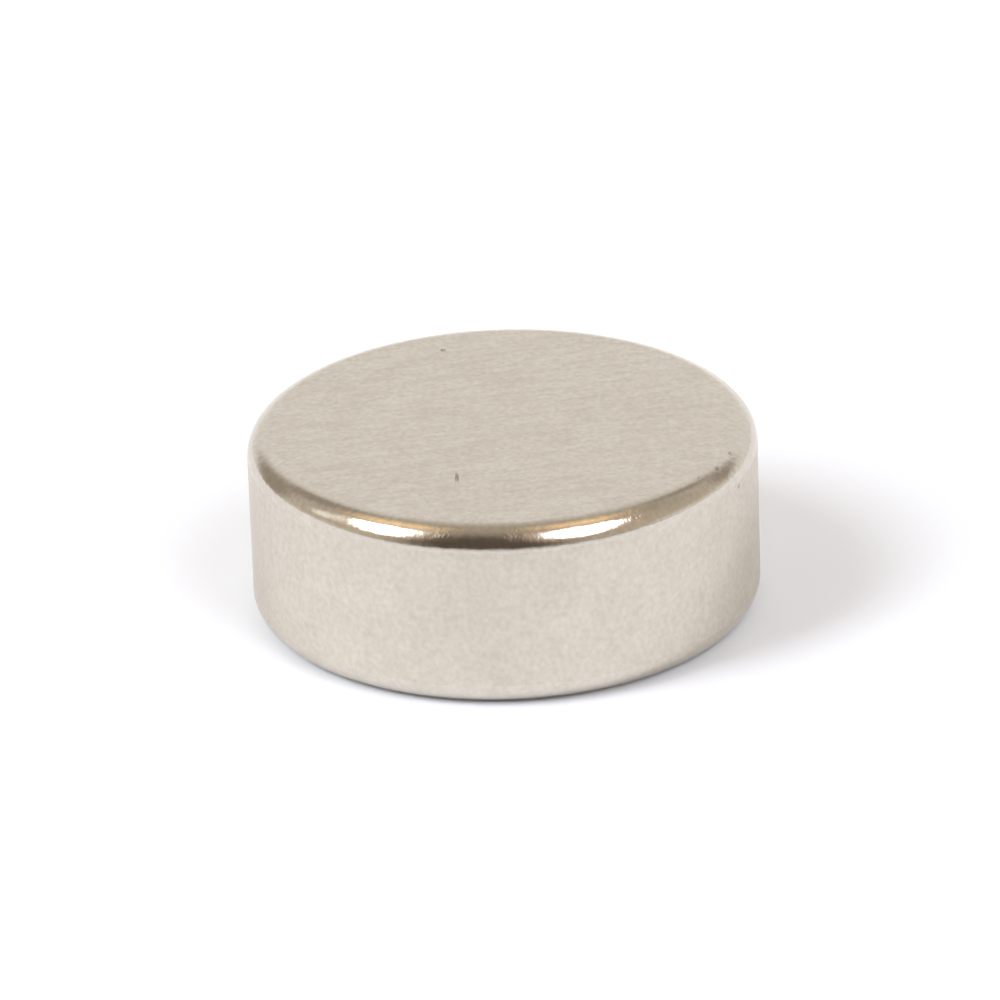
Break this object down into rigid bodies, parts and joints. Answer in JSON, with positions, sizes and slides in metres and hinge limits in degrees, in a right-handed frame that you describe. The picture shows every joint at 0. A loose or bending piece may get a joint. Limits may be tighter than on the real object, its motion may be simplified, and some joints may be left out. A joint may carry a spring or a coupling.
{
  "type": "disc magnet",
  "caption": "Solid round disc magnet with flat faces and rounded rims, plated all over, for gluing into a pocket or holding to steel.",
  "frame": {"origin": "centre of the lower flat face", "axes": "+Z is the disc's axis, from the lower face to the upper face; +X is free, and the knock mark lies at 250.5 degrees from it"},
  "size_m": [0.008, 0.008, 0.003],
  "materials": {
    "nickel_plating": "bright nickel plating: satin on the ground faces and side, polished on the tumbled rims"
  },
  "bodies": {
    "root": {"magnet_disc": "nickel_plating"}
  },
  "joints": []
}
